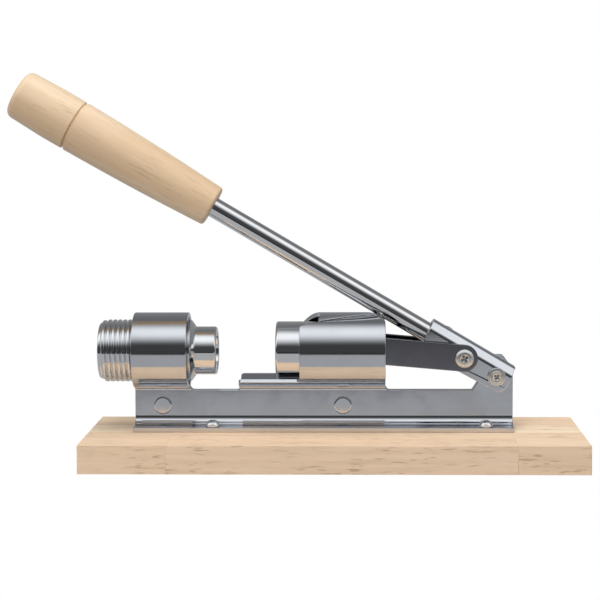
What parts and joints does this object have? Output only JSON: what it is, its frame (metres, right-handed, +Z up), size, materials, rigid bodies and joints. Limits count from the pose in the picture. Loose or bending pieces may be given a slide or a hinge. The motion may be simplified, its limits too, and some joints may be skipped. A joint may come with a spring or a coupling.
{
  "type": "lever nutcracker",
  "caption": "Desktop lever nutcracker: folded steel frame on a wooden base, a threaded anvil, and a sliding ram that a hinged lever with a wooden grip drives through links.",
  "frame": {"origin": "middle of the wooden base's underside", "axes": "+X along the base from the threaded anvil towards the lever's pivot, +Y to the back, +Z up"},
  "size_m": [0.291, 0.085, 0.1963],
  "materials": {
    "board_wood": "pale oiled rubberwood, jointed from blocks and strips",
    "grip_wood": "pale turned wood under satin varnish",
    "frame_plate": "bright plated sheet steel, soft reflections",
    "jaw_chrome": "mirror chrome plate",
    "rod_chrome": "mirror chrome plate",
    "link_steel": "dark polished steel",
    "bush_steel": "turned steel",
    "fastener_steel": "satin nickel plate"
  },
  "bodies": {
    "frame": {"base_board": "board_wood", "frame": "frame_plate", "frame_rivet_left": "fastener_steel", "frame_rivet_right": "fastener_steel", "base_screw_front_left": "fastener_steel", "base_screw_front_right": "fastener_steel", "base_screw_rear_left": "fastener_steel", "base_screw_rear_right": "fastener_steel", "anvil_bush": "bush_steel"},
    "anvil": {"anvil_screw": "jaw_chrome"},
    "ram": {"ram": "jaw_chrome"},
    "lever": {"yoke": "frame_plate", "yoke_rivet": "fastener_steel", "lever_rod": "rod_chrome", "handle_grip": "grip_wood", "pivot_post": "fastener_steel", "pivot_screw": "fastener_steel", "pivot_spacer_front": "fastener_steel", "pivot_spacer_rear": "fastener_steel", "link_post": "fastener_steel", "link_screw": "fastener_steel"},
    "links": {"link_front": "link_steel", "link_rear": "link_steel", "ram_pin": "link_steel"}
  },
  "joints": [
    {"name": "lever_pivot", "type": "hinge", "parent": "frame", "child": "lever", "pos_m": [0.0825, 0.0106, 0.0414], "axis": [0, 1, 0], "range_deg": [0, 90]},
    {"name": "link_pivot", "type": "hinge", "parent": "lever", "child": "links", "pos_m": [0.06606, 0.0106, 0.05112], "axis": [0, 1, 0], "range_deg": [-101, 0]},
    {"name": "ram_slide", "type": "slide", "parent": "frame", "child": "ram", "axis": [1, 0, 0], "range_m": [0, 0.0265]},
    {"name": "anvil_feed", "type": "slide", "parent": "frame", "child": "anvil", "axis": [1, 0, 0], "range_m": [-0.018, 0.014]}
  ],
  "couplings": [
    {"joint": "link_pivot", "follows": "lever_pivot", "ratio": -1.12},
    {"joint": "ram_slide", "follows": "lever_pivot", "m_per_rad": 0.01675}
  ]
}
